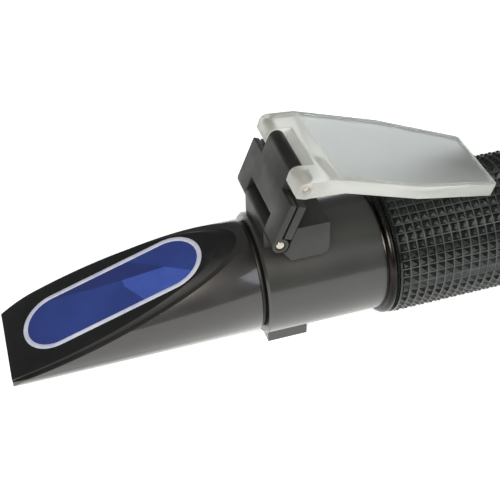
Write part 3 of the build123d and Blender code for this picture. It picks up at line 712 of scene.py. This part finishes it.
@dataclass
class KnurledGrip:
    """Rubber sleeve covered with small square pyramids in straight rows."""

    pitch_mm: float = 2.07
    valley_mm: float = 0.16
    tip_mm: float = 0.34
    height_mm: float = 0.7
    plain_edge_mm: float = 0.5
    lip_mm: float = 0.55
    wall_mm: float = 2.75

    def build(self, axis: OpticalAxis) -> None:
        """Makes the sleeve as a flat strip of pyramids and wraps it round the tube."""
        x0, x1 = axis.span("rubber_grip")
        tip_radius = axis.radius("rubber_grip")
        valley_radius = tip_radius - self.height_mm * MM
        length = x1 - x0 - 2 * self.plain_edge_mm * MM
        rows = round(length / (self.pitch_mm * MM))
        around = round(2 * math.pi * tip_radius / (self.pitch_mm * MM))
        girth = around * self.pitch_mm * MM
        deselect()
        bpy.ops.mesh.primitive_grid_add(x_subdivisions=rows, y_subdivisions=around, size=1)
        sleeve = bpy.context.object
        sleeve.name = "knurled_sleeve"
        bpy.ops.transform.resize(value=(length, girth, 1))
        bpy.ops.object.transform_apply(location=False, rotation=False, scale=True)
        bpy.ops.object.mode_set(mode="EDIT")
        bpy.ops.mesh.select_mode(type="FACE")
        bpy.ops.mesh.select_all(action="SELECT")
        bpy.ops.mesh.inset(use_individual=True, thickness=self.valley_mm * MM / 2)
        slope = (self.pitch_mm - self.valley_mm - self.tip_mm) / 2
        bpy.ops.mesh.inset(use_individual=True, thickness=slope * MM, depth=self.height_mm * MM)
        bpy.ops.object.mode_set(mode="OBJECT")
        middle = (x0 + x1) / 2
        for vertex in sleeve.data.vertices:
            angle = 2 * math.pi * vertex.co.y / girth
            radius = valley_radius + vertex.co.z
            height = axis.height + radius * math.cos(angle)
            vertex.co = (middle + vertex.co.x, radius * math.sin(angle), height)
        clean(sleeve, 0.01 * MM)
        self.close_ends(sleeve, axis, (x0, x1), valley_radius)
        # Moulded rubber of the grip, shiny with handling: its facets glint, and its colour carries painted
        # light in the valleys and on the tips.
        rubber = KnurledRubber("knurled_grip_rubber", "#0b0e0d", "#181c1a", 0.24, Grain.MOULDED, 0.5, 0.006,
                               0.07, 8.0, ior=1.55, axis_height=axis.height, valley_radius=valley_radius,
                               tip_radius=tip_radius)
        stand_for(sleeve, "rubber_grip", rubber.material())

    def close_ends(self, sleeve: bpy.types.Object, axis: OpticalAxis, ends: Point, valley: float) -> None:
        """Adds the raised plain lips at both ends and the sleeve's inner wall.

        Args:
            sleeve: the wrapped strip, open at both ends.
            axis: the shared places.
            ends: lowest and highest X of the sleeve.
            valley: radius of the valleys between the pyramids.
        """
        tube_radius = axis.radius("rubber_grip") - self.wall_mm * MM
        for end, way in ((ends[0], -1), (ends[1], 1)):
            make_active(sleeve)
            bpy.ops.object.mode_set(mode="EDIT")
            bpy.ops.mesh.select_mode(type="EDGE")
            bpy.ops.mesh.select_all(action="DESELECT")
            bpy.ops.mesh.select_non_manifold(extend=False, use_wire=False, use_boundary=True,
                                             use_multi_face=False, use_non_contiguous=False, use_verts=False)
            bpy.ops.object.mode_set(mode="OBJECT")
            middle = (ends[0] + ends[1]) / 2
            for edge in sleeve.data.edges:
                at = sum((sleeve.data.vertices[v].co.x for v in edge.vertices)) / 2
                if edge.select and (at - middle) * way < 0:
                    edge.select = False
            for vertex in sleeve.data.vertices:
                if vertex.select and (vertex.co.x - middle) * way < 0:
                    vertex.select = False
            bpy.ops.object.mode_set(mode="EDIT")
            edge_x = end - way * self.plain_edge_mm * MM
            lip = (valley + self.lip_mm * MM) / valley
            steps = [(0.0, lip), (way * self.plain_edge_mm * MM, 1.0),
                     (0.0, tube_radius / (valley + self.lip_mm * MM))]
            for shift, scale in steps:
                bpy.ops.mesh.extrude_edges_move(TRANSFORM_OT_translate={"value": (shift, 0, 0)})
                bpy.ops.transform.resize(value=(1, scale, scale), center_override=(edge_x, 0, axis.height))
        bpy.ops.mesh.select_all(action="DESELECT")
        bpy.ops.mesh.select_non_manifold(extend=False, use_wire=False, use_boundary=True,
                                         use_multi_face=False, use_non_contiguous=False, use_verts=False)
        bpy.ops.mesh.bridge_edge_loops()
        bpy.ops.object.mode_set(mode="OBJECT")
        clean(sleeve)


@dataclass
class TubeTrim:
    """Turned rings on the tube: seal, trim ring, end ring and focusing ring."""

    seal_steps: int = 6
    seal_depth_mm: float = 0.95
    bead_share: float = 0.86
    bead_step_mm: float = 0.25
    bead_depth_mm: float = 2.45
    rib_count: int = 60
    rib_depth_mm: float = 0.35
    rib_edge_mm: float = 0.06
    rib_reach_mm: float = 0.25
    rim_edge_mm: float = 0.4
    rim_width_mm: float = 7.5
    rim_plain_mm: float = 1.1
    front_land_mm: float = 5.35
    rear_land_mm: float = 1.0
    hub_wall_mm: float = 1.2
    snap_depth_mm: float = 0.5
    play_mm: float = 0.05

    def seal(self, axis: OpticalAxis) -> bpy.types.Object:
        """Round-edged rubber ring in the groove between head and collar."""
        x0, x1 = axis.span("head_seal")
        outer = axis.radius("head_seal")
        half = (x1 - x0) / 2
        crown = arc(((x0 + x1) / 2, outer - half), half, 0, 180, self.seal_steps)
        base = outer - self.seal_depth_mm * MM
        return turned("seal_ring", crown + [(x0, base), (x1, base)], axis.height)

    def trim_ring(self, axis: OpticalAxis) -> bpy.types.Object:
        """Polished bead with a fine step at each side."""
        x0, x1 = axis.span("trim_ring")
        outer = axis.radius("trim_ring")
        half = (x1 - x0) / 2
        bead = self.bead_share * half
        middle = (x0 + x1) / 2
        crown = arc((middle, outer - bead), bead, -10, 190, 18)
        step = outer - bead - self.bead_step_mm * MM
        base = outer - self.bead_depth_mm * MM
        outline = crown + [(x0, step), (x0, base), (x1, base), (x1, step)]
        return turned("trim_bead", outline, axis.height, 160)

    def ribbed(self, name: str, node: str, axis: OpticalAxis) -> bpy.types.Object:
        """Turns a ring in a node's place and cuts shallow ribs into its rim.

        Args:
            name: the new piece's name.
            node: the CAD node.
            axis: the shared places.

        Returns:
            The ribbed ring.
        """
        x0, x1 = axis.span(node)
        outer = axis.radius(node)
        front = x0 + self.front_land_mm * MM
        rear = x1 - self.rear_land_mm * MM
        lowest = outer - self.rib_reach_mm * MM
        ring = turned(name, self.rim_outline(node, axis), axis.height, 4 * self.rib_count)

        def groove(polygon: bpy.types.MeshPolygon) -> bool:
            """Every other pair of rim faces."""
            at = polygon.center
            if math.hypot(at.y, at.z - axis.height) < lowest or not front < at.x < rear:
                return False
            turn = math.atan2(at.y, at.z - axis.height) / (2 * math.pi) * 4 * self.rib_count
            return int(math.floor(turn)) % 4 < 2

        pick_faces(ring, groove)
        bpy.ops.mesh.inset(thickness=self.rib_edge_mm * MM, depth=-self.rib_depth_mm * MM)
        bpy.ops.object.mode_set(mode="OBJECT")
        bpy.ops.object.shade_smooth_by_angle(angle=math.radians(30))
        return ring

    def rim_outline(self, node: str, axis: OpticalAxis) -> list[Point]:
        """Section of the focusing ring: hub, snap ring groove and rim.

        Args:
            node: the CAD node of the ring.
            axis: the shared places.

        Returns:
            The closed outline.
        """
        x0, x1 = axis.span(node)
        outer = axis.radius(node)
        play = self.play_mm * MM
        edge = self.rim_edge_mm * MM
        plain = self.rim_plain_mm * MM
        inner = axis.radius("eyepiece_barrel") + play
        hub = inner + self.hub_wall_mm * MM
        snap0, snap1 = axis.span("snap_ring")
        groove = hub - self.snap_depth_mm * MM
        rim = x1 - self.rim_width_mm * MM
        return [
            (x0, inner), (x0, hub), (snap0 - play, hub), (snap0 - play, groove), (snap1 + play, groove),
            (snap1 + play, hub), (rim, hub), (rim, outer - edge), (rim + edge, outer), (rim + plain, outer),
            (x1 - plain, outer), (x1 - edge, outer), (x1, outer - edge), (x1, inner),
        ]

    def build(self, axis: OpticalAxis) -> None:
        """Makes the rings on the tube."""
        seal = self.seal(axis)
        bpy.ops.object.shade_smooth_by_angle(angle=math.radians(40))
        stand_for(seal, "head_seal", SEAL_RUBBER.material())
        bead = self.trim_ring(axis)
        bpy.ops.object.shade_smooth_by_angle(angle=math.radians(40))
        stand_for(bead, "trim_ring", DARK_CHROME.material())
        ring = self.ribbed("focusing_ring", "focus_ring", axis)
        stand_for(ring, "focus_ring", RING_ANODISED.material())
        stand_for(rounded_copy("end_ring", "rear_end_ring", 0.15), "end_ring", RING_ANODISED.material())


@dataclass
class Eyepiece:
    """Soft flared eyecup on the eyepiece barrel."""

    neck_wall_mm: float = 4.2
    neck_edge_mm: float = 0.9
    fold_at_mm: float = 3.2
    fold_mm: float = 0.7
    flare_at_mm: float = 4.4
    flare_end_mm: float = 2.6
    flare_steps: int = 12
    roll_mm: float = 1.3
    bowl_steps: int = 10
    bowl_curve: float = 0.8
    floor_at_mm: float = 6.6
    floor_inset_mm: float = 0.4
    ledge_mm: float = 1.5
    ledge_at_mm: float = 5.0
    turn_steps: int = 128

    def eyecup(self, axis: OpticalAxis) -> bpy.types.Object:
        """Flared cup with a rolled rim and a fold at its neck.

        Args:
            axis: the shared places.

        Returns:
            The turned cup.
        """
        x0, x1 = axis.span("eyecup")
        rim = axis.radius("eyecup")
        seat = axis.radius("eyepiece_barrel")
        neck = seat + self.neck_wall_mm * MM
        edge = self.neck_edge_mm * MM
        outline = [(x0, seat), (x0, neck - edge)]
        outline += arc((x0 + edge, neck - edge), edge, 180, 90, 5)[1:]
        outline += arc((x0 + self.fold_at_mm * MM, neck), self.fold_mm * MM, 180, 360, 6)
        flare_x = x0 + self.flare_at_mm * MM
        flare_length = x1 - self.flare_end_mm * MM - flare_x
        for i in range(1, self.flare_steps + 1):
            t = i / self.flare_steps
            ease = t * t * (3 - 2 * t)
            outline.append((flare_x + t * flare_length, neck + ease * (rim - neck)))
        roll = self.roll_mm * MM
        outline += arc((x1 - roll, rim - roll), roll, 90, -90, 10)
        bowl_x, bowl_radius = outline[-1]
        floor_x = x0 + self.floor_at_mm * MM
        floor_radius = seat - self.floor_inset_mm * MM
        for i in range(1, self.bowl_steps + 1):
            t = i / self.bowl_steps
            outline.append((bowl_x + t * (floor_x - bowl_x),
                            bowl_radius + (floor_radius - bowl_radius) * t ** self.bowl_curve))
        ledge_x = x0 + self.ledge_at_mm * MM
        ledge = seat - self.ledge_mm * MM
        outline += [(floor_x, ledge), (ledge_x, ledge), (ledge_x, seat)]
        return turned("soft_eyecup", outline, axis.height, self.turn_steps)

    def build(self, axis: OpticalAxis) -> None:
        """Makes the eyecup."""
        cup = self.eyecup(axis)
        bpy.ops.object.shade_smooth_by_angle(angle=math.radians(45))
        stand_for(cup, "eyecup", EYECUP_RUBBER.material())


@dataclass
class Hinge:
    """Moulded hinge block and link with their steel pins."""

    edge_mm: float = 0.22
    plate_edge_mm: float = 0.14
    dome_mm: float = 0.35

    def pin(self, name: str, node: str) -> bpy.types.Object:
        """Round pin along Y with domed ends, in the place of a CAD pin.

        Args:
            name: the new piece's name.
            node: the CAD pin.

        Returns:
            The pin.
        """
        low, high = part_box(node)
        radius = (high.x - low.x) / 2
        centre = (low + high) / 2
        half = (high.y - low.y) / 2
        deselect()
        bpy.ops.mesh.primitive_cylinder_add(vertices=40, radius=radius, depth=2 * half, location=centre,
                                            rotation=(math.pi / 2, 0, 0))
        pin = bpy.context.object
        pin.name = name
        bpy.ops.object.transform_apply(location=True, rotation=True, scale=True)
        round_edges(pin, self.dome_mm * MM, 5, 60)
        return pin

    def build(self) -> None:
        """Makes the hinge pieces."""
        abs_black = HINGE_ABS.material()
        stand_for(rounded_copy("hinge_block", "moulded_hinge_block", self.edge_mm), "hinge_block",
                  abs_black)
        stand_for(rounded_copy("link_frame", "moulded_link", self.plate_edge_mm), "link_frame", abs_black)
        stand_for(rounded_copy("link_back_plate", "moulded_link_back", self.plate_edge_mm), "link_back_plate",
                  abs_black)
        stand_for(self.pin("lower_hinge_pin", "link_pin"), "link_pin", PIN_STEEL.material())
        stand_for(self.pin("upper_hinge_pin", "cover_pin"), "cover_pin", PIN_STEEL.material())


@dataclass
class DaylightPlate:
    """Clear acrylic plate whose contact side is frosted inside a clear rim."""

    rim_mm: float = 1.1
    edge_mm: float = 0.22

    def build(self) -> None:
        """Copies the plate and frosts the middle of its contact side."""
        plate = rounded_copy("daylight_plate", "acrylic_daylight_plate", 0.0)
        plate.data.materials.append(CLEAR_ACRYLIC.material())
        plate.data.materials.append(FROSTED_ACRYLIC.material())
        largest = max(plate.data.polygons, key=lambda p: p.area if p.normal.z > 0.8 else 0.0)
        contact = largest.index
        pick_faces(plate, lambda polygon: polygon.index == contact)
        bpy.ops.mesh.inset(thickness=self.rim_mm * MM, depth=0.0)
        bpy.context.object.active_material_index = 1
        bpy.ops.object.material_slot_assign()
        bpy.ops.object.mode_set(mode="OBJECT")
        round_edges(plate, self.edge_mm * MM, 2, 25)
        stand_for(plate, "daylight_plate", CLEAR_ACRYLIC.material())


@dataclass
class CarriedNodes:
    """CAD nodes that keep their shape and only get their finish."""

    def build(self) -> None:
        """Dresses every CAD node by its slot in the record."""
        finishes = {
            "head_black": HEAD_ANODISED, "bezel_black": BEZEL_PAINT, "gasket_white": OPTICAL_CEMENT,
            "prism_blue": PRISM_MID, "seal_rubber": SEAL_RUBBER, "tube_black": TUBE_ANODISED,
            "ring_dark": DARK_CHROME, "grip_rubber": SEAL_RUBBER, "end_black": RING_ANODISED,
            "inner_black": INNER_LACQUER, "brass": TURNED_BRASS, "spring_steel": SPRING_STEEL,
            "screw_steel": SCREW_STEEL, "pin_steel": PIN_STEEL, "hinge_plastic": HINGE_ABS,
            "plate_clear": CLEAR_ACRYLIC, "lens_glass": LENS_GLASS, "eyecup_rubber": EYECUP_RUBBER,
        }
        for node, piece in frame["nodes"].items():
            material = finishes[slot_of_node(node)].material()
            if not piece.material_slots:
                piece.data.materials.append(material)
            for slot in piece.material_slots:
                slot.material = material
            LOG.info("%s wears %s", node, material.name)


# ---- studio -------------------------------------------------------------------------------------------
@dataclass
class Studio:
    """Pale floor, soft lights and the camera."""

    eye: tuple[float, float, float] = (-0.07449, -0.15836, 0.16660)
    right: tuple[float, float, float] = (0.95647, -0.29070, -0.02574)
    up: tuple[float, float, float] = (0.20897, 0.62064, 0.75574)
    back: tuple[float, float, float] = (-0.20371, -0.72822, 0.65437)
    lens_mm: float = 72.0
    sensor_mm: float = 36.0
    floor_size: float = 6.0
    floor_drop: float = 0.0002
    air_strength: float = 0.22

    def floor(self) -> None:
        """White table that glows a little, as an overexposed sweep does."""
        deselect()
        bpy.ops.mesh.primitive_plane_add(size=self.floor_size, location=(0, 0, -self.floor_drop))
        sweep = bpy.context.object
        sweep.name = "white_sweep"
        material = bpy.data.materials.new("white_sweep_paper")
        material.use_nodes = True
        tree = material.node_tree
        tree.nodes.clear()
        surface = add_node(
            tree,
            "ShaderNodeBsdfPrincipled",
            {"Base Color": linear("#f6f8f8"), "Roughness": 0.9, "Emission Color": linear("#f4fafc"),
             "Emission Strength": 0.62},
        )
        add_node(tree, "ShaderNodeOutputMaterial", links={"Surface": surface.outputs["BSDF"]})
        sweep.data.materials.append(material)

    def softbox(
        self,
        name: str,
        place: Sequence[float],
        look_at: Sequence[float],
        size: float,
        power: float,
        colour: str,
    ) -> None:
        """Adds a square soft light.

        Args:
            name: the light's name.
            place: where it stands, in metres.
            look_at: the point it faces.
            size: its side, in metres.
            power: its power, in watts.
            colour: its hex colour.
        """
        light = bpy.data.lights.new(name, "AREA")
        light.shape = "SQUARE"
        light.size = size
        light.energy = power
        light.color = linear(colour)[:3]
        lamp = bpy.data.objects.new(name, light)
        bpy.context.scene.collection.objects.link(lamp)
        lamp.location = place
        sight = Vector(look_at) - Vector(place)
        lamp.rotation_euler = sight.to_track_quat("-Z", "Y").to_euler()

    def lights(self) -> None:
        """Key from the front left, a low fill from the right and dim air all round."""
        world = bpy.data.worlds.new("studio_air")
        bpy.context.scene.world = world
        world.use_nodes = True
        air = world.node_tree.nodes["Background"]
        air.inputs["Color"].default_value = linear("#d9dcdf")
        air.inputs["Strength"].default_value = self.air_strength
        middle = (-0.03, 0.0, 0.02)
        self.softbox("key_softbox", (-0.25, -0.55, 0.55), middle, 0.30, 6.0, "#fff6ea")
        self.softbox("fill_softbox", (0.45, -0.45, 0.35), middle, 0.35, 1.2, "#f2f6ff")

    def camera(self) -> None:
        """Camera above the front left, turned a little about its line of sight."""
        data = bpy.data.cameras.new("studio_camera")
        data.lens = self.lens_mm
        data.sensor_width = self.sensor_mm
        data.clip_start = 0.01
        camera = bpy.data.objects.new("studio_camera", data)
        bpy.context.scene.collection.objects.link(camera)
        turn = Matrix((self.right, self.up, self.back)).transposed().to_4x4()
        camera.matrix_world = Matrix.Translation(Vector(self.eye)) @ turn
        bpy.context.scene.camera = camera

    def build(self) -> None:
        """Sets the stage."""
        self.camera()
        self.floor()
        self.lights()
        bpy.context.scene.view_settings.view_transform = "Standard"


def main() -> None:
    """Builds the stage and every sub-assembly in order."""
    logging.basicConfig(level=logging.INFO, format="%(name)s: %(message)s")
    axis = OpticalAxis()
    Studio().build()
    CarriedNodes().build()
    PrismHead().build()
    TubeTrim().build(axis)
    KnurledGrip().build(axis)
    Eyepiece().build(axis)
    Hinge().build()
    DaylightPlate().build()


if __name__ == "__main__":
    main()
